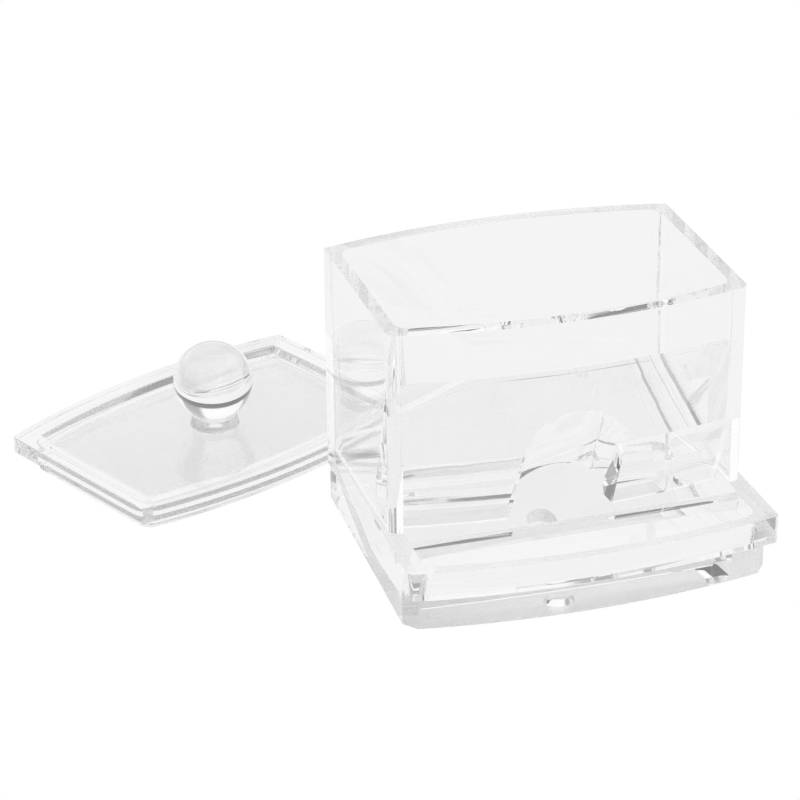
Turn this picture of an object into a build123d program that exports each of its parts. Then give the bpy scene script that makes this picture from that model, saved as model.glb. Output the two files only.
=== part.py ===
from build123d import *
import math
import os

os.makedirs("parts", exist_ok=True)

# Clear moulded dispenser box for cotton swabs: a hopper bonded on a tray, and a loose lid with a ball
# knob, shown taken off and lying behind the box. Millimetres; +X to the right, +Y to the back, +Z up.
# The origin is on the underside of the tray's foot pad, below the front of the hopper.

# Hopper
width = 92.0                # outside width of the hopper
back_y = 38.0               # back corners of the hopper and of the tray
front_y = -16.5             # front corners of the hopper
bow = 6.0                   # how far front and back walls bulge between their corners
rim_z = 70.7                # height of the open rim
end_wall = 3.3              # thickness of the end walls
back_wall = 3.8             # thickness of the back wall
front_wall = 4.2            # thickness of the front wall at the rim
corner_r = 2.5              # outside radius of the front corners
inner_r = 3.5               # radius of the inside corners

# Front panel of the hopper: upright outside down to the kink, then leaning back to its lower edge
kink_z = 36.2               # height where the outside starts to lean back
inner_kink_z = 57.0         # height where the inside starts to lean back
inner_knee_z = 25.0         # height below which the inside is upright again
panel_bottom_z = 13.6       # lower edge of the panel, above the tray floor
panel_setback = 8.9         # how far the lower edge sits behind the front corners
panel_bottom_bow = 4.5      # bulge of the lower edge
bottom_thickness = 5.0      # thickness of the panel at its lower edge
panel_gap = 0.6             # gap between the panel and the side walls inside the tray

# Finger arch, cut on a slope through the front panel
arch_half_low = 14.6        # half width at the panel's lower edge
arch_half_high = 13.0       # half width where the arch springs
arch_top_z = 46.7           # crown of the arch on the outside of the panel
arch_rise = 6.5             # height of the crown above the springing
arch_slope = 1.42           # how far the crown drops for each mm inwards
arch_foot_z = -0.8          # the cut runs on down to here, past the panel's lower edge
arch_reach = 19.0           # how far inwards the cut runs
arch_overcut = 6.0          # how far the cut starts in front of the panel

# Tray
tray_top_z = 17.5           # height of the tray's top face, where the hopper is bonded
tray_front_y = -37.3        # front corners of the tray
tray_flare = 1.8            # how far each front corner stands outside the hopper
tray_bow = 4.6              # bulge of the tray's front
tray_corner_r = 1.5
slab_z = 10.2               # height where the wider upper slab begins
plinth_inset = 0.6          # how far the plinth's ends stand inside the slab
plinth_front_y = -33.1      # front of the plinth at its clipped corners
plinth_bow = 4.8            # bulge of the plinth's front
plinth_clip = 3.0           # clipped corners of the plinth
lip = 2.7                   # thickness of the tray's front lip at the top
front_slope = 6.5           # how far the tray's inside front face comes back towards its foot
floor_z = 4.2               # height of the flat floor
floor_front_z = 6.4         # height of the floor at the front lip
floor_flat_front_y = -7.7   # front edge of the flat floor
ramp_toe_y = 1.0            # where the ramp under the hopper begins
ramp_top_y = 36.0
ramp_top_z = 13.8
floor_plate = 5.0           # thickness of the ramp over the hollow underside
pocket_r = 3.0              # radius of the hollow's back corners

# Textured pad and gate recess in the floor
pad_half = 36.7
pad_depth = 0.2
pad_back_y = 28.0           # the pad ends a little before the top of the ramp
gate_y = 2.0
gate_r = 3.8
gate_bottom_r = 3.2
gate_depth = 2.0

# Lid
lid_oversize = 1.0          # lid is this much longer and deeper than the hopper
lid_flange = 4.4            # thickness of the lid's edge
lid_plug = 4.6              # depth of the plug that drops into the hopper
plug_clearance = 0.35       # gap between plug and hopper wall
plug_wall = 3.0
plug_inner_r = 2.0
plug_taper = 1.0            # draft of the plug in degrees
panel_inset = 7.5           # border round the sunken panel
panel_sink = 1.65
panel_slope_width = 1.5     # width of the sloping step down to the panel
panel_plate = 2.6           # thickness of the sunken panel
lid_corner_r = 1.5
lid_place = (-66.9, 75.2)   # where the lid's centre lies on the table
lid_turn = 25.2             # how far the lid is turned, in degrees

# Knob
collar_r = 6.5
collar_top_r = 6.0
collar_height = 2.75
ball_r = 10.66
ball_sink = 0.9             # how deep the ball is seated in the collar
spigot_r = 2.5
spigot_depth = 2.0

overlap = 0.5               # how far pieces of one moulding run into each other before they are fused
clear = 1.0                 # how far cuts run on beyond the faces they open


def bowed_outline(half, y_front, y_back, bow_front, bow_back, half_front=None):
    """Plan outline with straight ends and bowed front and back; half_front widens or narrows the front."""
    if half_front is None:
        half_front = half
    front = ThreePointArc((-half_front, y_front), (0, y_front - bow_front), (half_front, y_front))
    right = Line((half_front, y_front), (half, y_back))
    back = ThreePointArc((half, y_back), (0, y_back + bow_back), (-half, y_back))
    left = Line((-half, y_back), (-half_front, y_front))
    return make_face(Wire([front.edge(), right.edge(), back.edge(), left.edge()]))


def prism(face, z_low, z_high):
    """Upright solid with the given plan."""
    return extrude(Pos(0, 0, z_low) * face, amount=z_high - z_low)


def corner_fillet(face, radius, front=True, back=True):
    """Rounds the plan's front and back corners."""
    corners = sorted(face.vertices(), key=lambda v: v.Y)
    chosen = (corners[:2] if front else []) + (corners[2:] if back else [])
    return fillet(chosen, radius)


def bow_at(half, bow_full, half_full):
    """Height of a shallow bow's crown over a shorter chord of the same arc."""
    radius = (half_full ** 2 + bow_full ** 2) / (2 * bow_full)
    return radius - math.sqrt(radius ** 2 - half ** 2)


hopper_half = width / 2
inner_half = hopper_half - end_wall
inner_bow = bow_at(inner_half, bow, hopper_half)
wall_offset = bow - inner_bow       # how far the bowed wall has moved outwards at the inside corner


def hopper_inside():
    """Plan of the hopper's inside, with rounded corners."""
    face = bowed_outline(inner_half, front_y - wall_offset + front_wall, back_y + wall_offset - back_wall,
                         inner_bow, inner_bow)
    return corner_fillet(face, inner_r)


def between(z, z_low, z_high, low, high):
    """Value at height z on the straight line between two heights."""
    return low + (high - low) * (z - z_low) / (z_high - z_low)


def panel_section(z, half):
    """Level section of the front panel at height z."""
    wall_y = front_y - wall_offset          # outside of the upright wall, beside the end walls
    foot_y = front_y + panel_setback
    outer_y = between(min(z, kink_z), panel_bottom_z, kink_z, foot_y, wall_y)
    outer_bow = between(min(z, kink_z), panel_bottom_z, kink_z, panel_bottom_bow, inner_bow)
    inner_y = between(max(z, inner_knee_z), inner_knee_z, inner_kink_z,
                      foot_y + bottom_thickness, wall_y + front_wall)
    back_bow = between(max(z, inner_knee_z), inner_knee_z, inner_kink_z, panel_bottom_bow, inner_bow)
    front = ThreePointArc((-half, outer_y), (0, outer_y - outer_bow), (half, outer_y))
    right = Line((half, outer_y), (half, inner_y))
    back = ThreePointArc((half, inner_y), (0, inner_y - back_bow), (-half, inner_y))
    left = Line((-half, inner_y), (-half, outer_y))
    return Pos(0, 0, z) * make_face(Wire([front.edge(), right.edge(), back.edge(), left.edge()]))


def panel_part(z_low, z_high, half):
    """Length of the panel between two heights."""
    return loft([panel_section(z_low, half), panel_section(z_high, half)], ruled=True)


def arch_section(inwards):
    """Arch outline on an upright plane, set inwards from the outside of the panel."""
    crown = arch_top_z - arch_slope * inwards
    spring = crown - arch_rise
    y = front_y - bow + inwards
    sill = Line((arch_half_low, y, arch_foot_z), (-arch_half_low, y, arch_foot_z))
    left = Line((-arch_half_low, y, arch_foot_z), (-arch_half_high, y, spring))
    top = ThreePointArc((-arch_half_high, y, spring), (0, y, crown), (arch_half_high, y, spring))
    right = Line((arch_half_high, y, spring), (arch_half_low, y, arch_foot_z))
    return make_face(Wire([sill.edge(), left.edge(), top.edge(), right.edge()]))


def make_hopper_box():
    outside = corner_fillet(bowed_outline(hopper_half, front_y, back_y, bow, bow), corner_r, back=False)
    shell = prism(outside, tray_top_z, rim_z) - prism(hopper_inside(), tray_top_z - clear, rim_z + clear)
    # the upright front wall stops at the kink, between the two end walls
    below_kink = Pos(0, front_y - bow, (tray_top_z + kink_z) / 2) * Box(
        2 * inner_half, 2 * (bow + inner_r + front_wall), kink_z - tray_top_z)
    shell -= below_kink
    half_fused = inner_half + overlap
    panel = panel_part(kink_z, inner_kink_z, half_fused)
    panel += panel_part(inner_knee_z, kink_z, half_fused)
    panel += panel_part(tray_top_z, inner_knee_z, half_fused)
    panel += panel_part(panel_bottom_z, tray_top_z, inner_half - panel_gap)
    arch = loft([arch_section(-arch_overcut), arch_section(arch_reach)], ruled=True)
    return (shell + panel) - arch


def tray_inside():
    """Room inside the tray: upright below the hopper, running out under a sloping front face before it."""
    lean = front_slope / (tray_top_z - floor_z)
    front_plan = bowed_outline(inner_half, tray_front_y + lip + lean * tray_top_z, front_y, tray_bow, overlap)
    front_plan = corner_fillet(front_plan, inner_r, back=False)
    slant = math.hypot(1, lean)
    room = extrude(front_plan, amount=(tray_top_z + clear) * slant, dir=(0, -lean, 1))
    back_plan = bowed_outline(inner_half, front_y - bow, back_y + wall_offset - back_wall, overlap, inner_bow)
    return room + prism(corner_fillet(back_plan, inner_r, front=False), 0, tray_top_z + clear)


def side_profile(points):
    """Solid running right across the tray, with the given profile of (y, z) points."""
    outline = Polyline(*[(0, y, z) for y, z in points], close=True)
    return extrude(make_face(outline), amount=width, both=True)


def make_base_tray():
    slab = corner_fillet(bowed_outline(hopper_half, tray_front_y, back_y, tray_bow, bow,
                                       hopper_half + tray_flare), tray_corner_r, back=False)
    # the plinth stands in at the ends and at the front, and shares the slab's bowed back
    plinth_half = hopper_half - plinth_inset
    plinth_back_bow = bow_at(plinth_half, bow, hopper_half)
    plinth = bowed_outline(plinth_half, plinth_front_y, back_y + bow - plinth_back_bow,
                           plinth_bow, plinth_back_bow, plinth_half + tray_flare)
    plinth = chamfer(sorted(plinth.vertices(), key=lambda v: v.Y)[:2], plinth_clip)
    body = prism(slab, slab_z, tray_top_z) + prism(plinth, 0, slab_z)
    # floor with a ramp under the hopper, rising a little towards the lip
    beyond_front = tray_front_y - 2 * tray_bow
    beyond_back = back_y + 2 * bow
    body -= tray_inside() & side_profile([
        (beyond_front, floor_front_z), (tray_front_y, floor_front_z), (floor_flat_front_y, floor_z),
        (ramp_toe_y, floor_z), (ramp_top_y, ramp_top_z), (beyond_back, ramp_top_z),
        (beyond_back, tray_top_z + clear), (beyond_front, tray_top_z + clear)])
    # hollow underside below the ramp
    rise = (ramp_top_z - floor_z) / (ramp_top_y - ramp_toe_y)
    pocket_toe_y = ramp_toe_y + (floor_plate - floor_z) / rise
    pocket_top_z = ramp_top_z - floor_plate
    pocket_plan = bowed_outline(inner_half, pocket_toe_y - clear, back_y + wall_offset - back_wall,
                                overlap, inner_bow)
    pocket_plan = corner_fillet(pocket_plan, pocket_r, front=False)
    body -= prism(pocket_plan, -clear, ramp_top_z) & side_profile([
        (pocket_toe_y, -clear), (pocket_toe_y, 0), (ramp_top_y, pocket_top_z),
        (beyond_back, pocket_top_z), (beyond_back, -clear)])
    # textured pad: a very shallow sinking of flat floor and ramp
    pad_back_z = floor_z + rise * (pad_back_y - ramp_toe_y) - pad_depth
    pad = make_face(Polyline(
        (0, floor_flat_front_y, floor_z - pad_depth), (0, ramp_toe_y, floor_z - pad_depth),
        (0, pad_back_y, pad_back_z), (0, pad_back_y, ramp_top_z + clear),
        (0, floor_flat_front_y, ramp_top_z + clear), close=True))
    body -= extrude(pad, amount=pad_half, both=True)
    # gate recess
    gate_top_z = floor_z - pad_depth
    body -= Pos(0, gate_y, gate_top_z - gate_depth / 2) * Cone(gate_bottom_r, gate_r, gate_depth)
    body -= Pos(0, gate_y, gate_top_z + clear) * Cylinder(gate_r, 2 * clear)
    return body


def place_lid(shape):
    """Moves a shape from the lid's own frame to where the lid lies."""
    return Pos(lid_place[0], lid_place[1], 0) * Rot(0, 0, lid_turn) * shape


lid_half = (width + lid_oversize) / 2
lid_depth_half = (back_y - front_y + lid_oversize) / 2
lid_top_z = lid_plug + lid_flange
panel_z = lid_top_z - panel_sink
ball_z = panel_z + collar_height + ball_r - ball_sink


def lid_plan(inset):
    """Lid outline moved inwards on every side."""
    half = lid_half - inset
    moved = bow_at(half, bow, lid_half)
    depth_half = lid_depth_half - inset + (bow - moved)
    return bowed_outline(half, -depth_half, depth_half, moved, moved)


def make_lid_plate():
    plate = prism(corner_fillet(lid_plan(0), lid_corner_r), lid_plug, lid_top_z)
    # sunken panel with a sloping step all round
    step_top = Pos(0, 0, lid_top_z) * lid_plan(panel_inset - panel_slope_width)
    step_bottom = Pos(0, 0, panel_z) * lid_plan(panel_inset)
    plate -= loft([step_bottom, step_top], ruled=True)
    # plug ring below the flange, drafted so that it drops in easily
    plug_half = inner_half - plug_clearance
    plug_bow = bow_at(plug_half, bow, hopper_half)
    plug_front = (back_y - front_y) / 2 + (bow - plug_bow) - back_wall - plug_clearance
    hopper_inside_shift = (front_wall - back_wall) / 2
    plug_depth = plug_front - hopper_inside_shift
    ring = corner_fillet(bowed_outline(plug_half, -plug_depth, plug_depth, plug_bow, plug_bow), inner_r)
    ring_solid = extrude(Pos(0, 0, lid_plug) * ring, amount=-lid_plug, taper=plug_taper)
    hollow_half = plug_half - plug_wall
    hollow_bow = bow_at(hollow_half, bow, hopper_half)
    hollow_depth = plug_depth - plug_wall + (plug_bow - hollow_bow)
    hollow = bowed_outline(hollow_half, -hollow_depth, hollow_depth, hollow_bow, hollow_bow)
    plate += ring_solid
    plate -= prism(corner_fillet(hollow, plug_inner_r), -clear, panel_z - panel_plate)
    # collar that carries the knob, with its socket
    plate += Pos(0, 0, panel_z + collar_height / 2) * Cone(collar_r, collar_top_r, collar_height)
    plate -= knob_shape()
    return place_lid(plate)


def knob_shape():
    """Ball with a short spigot below it, in the lid's own frame."""
    ball = Pos(0, 0, ball_z) * Sphere(ball_r)
    return ball + Pos(0, 0, ball_z - ball_r) * Cylinder(spigot_r, 2 * spigot_depth)


parts = {
    "hopper_box": make_hopper_box(),
    "base_tray": make_base_tray(),
    "lid_plate": make_lid_plate(),
    "ball_knob": place_lid(knob_shape()),
}
for name, shape in parts.items():
    export_step(shape, f"parts/{name}.step")
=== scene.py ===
import math

import bmesh
import bpy
from mathutils import Matrix, Vector


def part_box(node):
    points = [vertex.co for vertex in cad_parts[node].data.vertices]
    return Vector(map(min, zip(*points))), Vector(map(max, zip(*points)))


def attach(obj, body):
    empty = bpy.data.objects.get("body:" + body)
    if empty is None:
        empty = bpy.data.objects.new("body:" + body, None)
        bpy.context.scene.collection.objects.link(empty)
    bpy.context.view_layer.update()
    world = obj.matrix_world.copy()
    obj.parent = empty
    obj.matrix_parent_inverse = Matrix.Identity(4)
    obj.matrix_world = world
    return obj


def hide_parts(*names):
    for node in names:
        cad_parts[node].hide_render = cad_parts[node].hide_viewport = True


# Clear moulded dispenser box for cotton swabs, with its lid lying behind it. Metres, in the frame of the CAD.
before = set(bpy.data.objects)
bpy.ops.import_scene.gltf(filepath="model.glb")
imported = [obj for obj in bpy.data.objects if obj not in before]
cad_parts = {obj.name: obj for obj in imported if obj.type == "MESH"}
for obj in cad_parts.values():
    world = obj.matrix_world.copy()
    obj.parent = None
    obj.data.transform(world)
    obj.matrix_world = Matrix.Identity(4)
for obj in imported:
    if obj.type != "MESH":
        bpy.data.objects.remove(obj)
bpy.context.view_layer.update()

MM = 0.001

# Camera
view_target = Vector((-35.09, 9.47, 40.0)) * MM
view_distance = 781.1 * MM
view_yaw = math.radians(17.058)
view_pitch = math.radians(26.341)
view_roll = math.radians(-0.5)
view_lens = 141.66          # millimetres, on a 36 mm sensor

# Moulded edges
edge_round = 0.3 * MM
edge_steps = 3
crease_angle = math.radians(15)
flat_angle = math.radians(0.05)     # faces that differ by less are joined
weld_distance = 0.0001 * MM
bond_gap = 0.04 * MM        # thin air film between bonded pieces

# Knob
spigot_radius = 2.5 * MM
ball_rings = 96
ball_steps_around = 160

# Plastic
plastic_ior = 1.49
waviness = 0.004            # strength of the flow waves left by moulding
wave_depth = 0.4 * MM
waves_per_metre = 38.0
haze_per_metre = 90.0
haze_low = 0.35             # noise levels between which the haze goes from least to most
haze_high = 0.75
level_enough = 0.8          # how upright a face's normal is, for the face to count as level

# Textured pad on the tray's floor
pad_half = 36.75 * MM
pad_front = -7.75 * MM
pad_back = 28.1 * MM
pad_low = 3.5 * MM

# Textured ceiling of the hollow under the lid
lid_ceiling_low = 4.7 * MM
lid_ceiling_high = 4.8 * MM

# Studio
floor_gap = 0.02 * MM
floor_reach = 4.0           # metres
table_through_plastic = 0.91
soft_boxes = 4
gap_edge = -0.75            # on the wave round the horizon, where a gap starts to turn into a soft box
box_edge = -0.2             # and where the soft box has its full light
room_light = 0.2
gap_light = 0.25            # light left in the gaps, as a share of the soft boxes' own
soft_box_light = 1.0
soft_box_low = math.radians(6)
soft_box_high = math.radians(52)
soft_box_fade = 0.06
light_bounces = 96          # light runs a long way inside the clear walls


def make_camera():
    """Camera at the chosen viewing angle."""
    forward = Vector((math.sin(view_yaw) * math.cos(view_pitch), math.cos(view_yaw) * math.cos(view_pitch),
                      -math.sin(view_pitch)))
    level_right = Vector((math.cos(view_yaw), -math.sin(view_yaw), 0))
    level_up = level_right.cross(forward)
    right = level_right * math.cos(view_roll) + level_up * math.sin(view_roll)
    up = level_up * math.cos(view_roll) - level_right * math.sin(view_roll)
    data = bpy.data.cameras.new("camera")
    data.lens = view_lens
    data.sensor_width = 36
    data.clip_start = 0.01
    data.clip_end = 100
    camera = bpy.data.objects.new("camera", data)
    bpy.context.scene.collection.objects.link(camera)
    turn = Matrix((right, up, -forward)).transposed().to_4x4()
    camera.matrix_world = Matrix.Translation(view_target - forward * view_distance) @ turn
    bpy.context.scene.camera = camera


class Nodes:
    """Short way to build a node tree."""

    def __init__(self, tree):
        self.tree = tree
        tree.nodes.clear()

    def add(self, kind, inputs=None, **settings):
        node = self.tree.nodes.new(kind)
        for name, value in settings.items():
            setattr(node, name, value)
        for name, value in (inputs or {}).items():
            socket = node.inputs[name]
            if isinstance(value, bpy.types.NodeSocket):
                self.tree.links.new(value, socket)
            else:
                socket.default_value = value
        return node


def plastic(name, brightness, texture_strength=0.0, texture_size=0.5 * MM, roughness=(0.0, 0.02)):
    """Clear moulded plastic: faint flow waves from moulding, and fine texture where it has one."""
    material = bpy.data.materials.new(name)
    material.use_nodes = True
    n = Nodes(material.node_tree)
    place = n.add("ShaderNodeTexCoord").outputs["Object"]
    flow = n.add("ShaderNodeTexNoise", {"Vector": place, "Scale": waves_per_metre, "Detail": 1.0,
                                        "Roughness": 0.4})
    waves = n.add("ShaderNodeBump", {"Height": flow.outputs["Fac"], "Strength": waviness,
                                     "Distance": wave_depth})
    normal = waves.outputs["Normal"]
    if texture_strength:
        grain = n.add("ShaderNodeTexNoise", {"Vector": place, "Scale": 1 / texture_size, "Detail": 2.0,
                                             "Roughness": 0.6})
        stipple = n.add("ShaderNodeBump", {"Height": grain.outputs["Fac"], "Strength": texture_strength,
                                           "Distance": texture_size, "Normal": normal})
        normal = stipple.outputs["Normal"]
    haze = n.add("ShaderNodeTexNoise", {"Vector": place, "Scale": haze_per_metre, "Detail": 3.0})
    rough = n.add("ShaderNodeMapRange", {"Value": haze.outputs["Fac"], "From Min": haze_low,
                                         "From Max": haze_high, "To Min": roughness[0],
                                         "To Max": roughness[1]})
    shader = n.add("ShaderNodeBsdfPrincipled", {
        "Base Color": (brightness, brightness, brightness, 1),
        "Transmission Weight": 1.0, "IOR": plastic_ior,
        "Roughness": rough.outputs["Result"], "Normal": normal})
    n.add("ShaderNodeOutputMaterial", {"Surface": shader.outputs["BSDF"]})
    return material


def mark_creases(mesh, bond_height):
    """Joins flat facets and marks sharp edges. Faces at bond_height part from their mate."""
    shape = bmesh.new()
    shape.from_mesh(mesh)
    bmesh.ops.remove_doubles(shape, verts=shape.verts, dist=weld_distance)
    bmesh.ops.dissolve_limit(shape, angle_limit=flat_angle, verts=shape.verts, edges=shape.edges)
    if bond_height is not None:
        for vertex in shape.verts:
            if abs(vertex.co.z - bond_height) < bond_gap / 4:
                vertex.co.z += bond_gap
    for face in shape.faces:
        face.smooth = True
    for edge in shape.edges:
        edge.smooth = not (edge.is_manifold and edge.calc_face_angle(0) > crease_angle)
    shape.to_mesh(mesh)
    shape.free()


def moulded_copy(node, name, body, bond_height=None):
    """Copy of a CAD node with rounded edges, which stands for it."""
    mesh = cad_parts[node].data.copy()
    mesh.name = name
    mesh.materials.clear()
    piece = bpy.data.objects.new(name, mesh)
    bpy.context.scene.collection.objects.link(piece)
    if mesh.has_custom_normals:
        bpy.context.view_layer.objects.active = piece
        with bpy.context.temp_override(object=piece, active_object=piece, selected_objects=[piece]):
            bpy.ops.mesh.customdata_custom_splitnormals_clear()
    mark_creases(mesh, bond_height)
    round_edges = piece.modifiers.new("round", "BEVEL")
    round_edges.width = edge_round
    round_edges.segments = edge_steps
    round_edges.limit_method = "ANGLE"
    round_edges.angle_limit = crease_angle
    round_edges.use_clamp_overlap = True
    round_edges.harden_normals = False
    weight = piece.modifiers.new("normals", "WEIGHTED_NORMAL")
    weight.keep_sharp = False
    weight.mode = "FACE_AREA_WITH_ANGLE"
    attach(piece, body)
    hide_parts(node)
    return piece


def texture_faces(piece, chosen):
    """Gives the chosen faces the textured plastic, the piece's second material."""
    piece.data.materials.append(textured)
    for face in piece.data.polygons:
        if chosen(face.center, face.normal):
            face.material_index = 1


def on_pad(centre, normal):
    """True for the textured pad on the tray's floor and ramp."""
    inside = abs(centre.x) < pad_half and pad_front < centre.y < pad_back and pad_low < centre.z < tray_top
    return inside and normal.z > level_enough


def on_lid_ceiling(centre, normal):
    """True for the ceiling of the hollow under the lid."""
    return lid_ceiling_low < centre.z < lid_ceiling_high and normal.z < -level_enough


def turned_knob():
    """Clear ball with its spigot, turned about the upright axis through the knob."""
    low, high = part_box("ball_knob")
    centre = (low + high) / 2
    radius = (high.x - low.x) / 2 - bond_gap
    ball_z = high.z - radius
    spigot = spigot_radius - bond_gap
    foot_z = low.z + bond_gap
    join = math.asin(spigot / radius)
    profile = [(0, foot_z), (spigot - edge_round, foot_z)]
    for k in range(edge_steps):
        t = math.radians(90) * (k + 1) / edge_steps
        profile.append((spigot - edge_round * (1 - math.sin(t)), foot_z + edge_round * (1 - math.cos(t))))
    for k in range(ball_rings + 1):
        t = math.pi - join - (math.pi - join) * k / ball_rings
        profile.append((radius * math.sin(t), ball_z + radius * math.cos(t)))
    shape = bmesh.new()
    verts = [shape.verts.new((r, 0, z)) for r, z in profile]
    edges = [shape.edges.new(pair) for pair in zip(verts, verts[1:])]
    bmesh.ops.spin(shape, geom=verts + edges, cent=(0, 0, 0), axis=(0, 0, 1), angle=2 * math.pi,
                   steps=ball_steps_around, use_merge=True)
    bmesh.ops.remove_doubles(shape, verts=shape.verts, dist=weld_distance)
    bmesh.ops.recalc_face_normals(shape, faces=shape.faces)
    for face in shape.faces:
        face.smooth = True
    mesh = bpy.data.meshes.new("clear_ball")
    shape.to_mesh(mesh)
    shape.free()
    knob = bpy.data.objects.new("clear_ball", mesh)
    bpy.context.scene.collection.objects.link(knob)
    knob.location = (centre.x, centre.y, 0)
    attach(knob, "lid")
    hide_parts("ball_knob")
    return knob


def make_floor():
    """White table, pure white where it is seen directly and a little greyer through the plastic."""
    mesh = bpy.data.meshes.new("floor")
    corners = [(-floor_reach, -floor_reach, 0), (floor_reach, -floor_reach, 0),
               (floor_reach, floor_reach, 0), (-floor_reach, floor_reach, 0)]
    mesh.from_pydata(corners, [], [(0, 1, 2, 3)])
    floor = bpy.data.objects.new("floor", mesh)
    bpy.context.scene.collection.objects.link(floor)
    floor.location.z = -floor_gap
    material = bpy.data.materials.new("white_table")
    material.use_nodes = True
    n = Nodes(material.node_tree)
    seen = n.add("ShaderNodeLightPath").outputs["Is Camera Ray"]
    strength = n.add("ShaderNodeMapRange", {"Value": seen, "To Min": table_through_plastic, "To Max": 1.0})
    light = n.add("ShaderNodeEmission", {"Color": (1, 1, 1, 1), "Strength": strength.outputs["Result"]})
    n.add("ShaderNodeOutputMaterial", {"Surface": light.outputs["Emission"]})
    mesh.materials.append(material)


def make_world():
    """Studio round the table: wide soft boxes with dimmer gaps between them, and a dim ceiling."""
    world = bpy.data.worlds.new("studio")
    bpy.context.scene.world = world
    world.use_nodes = True
    n = Nodes(world.node_tree)
    direction = n.add("ShaderNodeTexCoord").outputs["Generated"]
    split = n.add("ShaderNodeSeparateXYZ", {"Vector": direction})
    turn = n.add("ShaderNodeMath", {0: split.outputs["Y"], 1: split.outputs["X"]}, operation="ARCTAN2")
    turns = n.add("ShaderNodeMath", {0: turn.outputs[0], 1: float(soft_boxes)}, operation="MULTIPLY")
    wave = n.add("ShaderNodeMath", {0: turns.outputs[0]}, operation="COSINE")
    box = n.add("ShaderNodeMapRange", {"Value": wave.outputs[0], "From Min": gap_edge, "From Max": box_edge,
                                       "To Min": gap_light, "To Max": 1.0}, interpolation_type="SMOOTHSTEP")
    bottom = n.add("ShaderNodeMapRange", {"Value": split.outputs["Z"], "From Min": math.sin(soft_box_low),
                                          "From Max": math.sin(soft_box_low) + soft_box_fade},
                   interpolation_type="SMOOTHSTEP")
    top = n.add("ShaderNodeMapRange", {"Value": split.outputs["Z"], "From Min": math.sin(soft_box_high),
                                       "From Max": math.sin(soft_box_high) + soft_box_fade,
                                       "To Min": 1.0, "To Max": 0.0}, interpolation_type="SMOOTHSTEP")
    band = n.add("ShaderNodeMath", {0: bottom.outputs[0], 1: top.outputs[0]}, operation="MULTIPLY")
    boxes = n.add("ShaderNodeMath", {0: band.outputs[0], 1: box.outputs[0]}, operation="MULTIPLY")
    light = n.add("ShaderNodeMapRange", {"Value": boxes.outputs[0], "To Min": room_light,
                                         "To Max": soft_box_light})
    back = n.add("ShaderNodeBackground", {"Color": (1, 1, 1, 1), "Strength": light.outputs[0]})
    n.add("ShaderNodeOutputWorld", {"Surface": back.outputs["Background"]})


make_camera()
make_floor()
make_world()
scene = bpy.context.scene
scene.view_settings.view_transform = "Standard"
scene.cycles.max_bounces = light_bounces
scene.cycles.transmission_bounces = light_bounces
scene.cycles.glossy_bounces = light_bounces

clear = plastic("clear_plastic", 0.995)
textured = plastic("textured_plastic", 0.985, 0.5, 0.3 * MM, (0.12, 0.25))
tray_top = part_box("base_tray")[1].z
hopper = moulded_copy("hopper_box", "clear_hopper", "box", tray_top)
tray = moulded_copy("base_tray", "clear_base", "box")
lid = moulded_copy("lid_plate", "clear_lid_plate", "lid")
knob = turned_knob()
for piece in (hopper, tray, lid, knob):
    piece.data.materials.append(clear)
texture_faces(tray, on_pad)
texture_faces(lid, on_lid_ceiling)
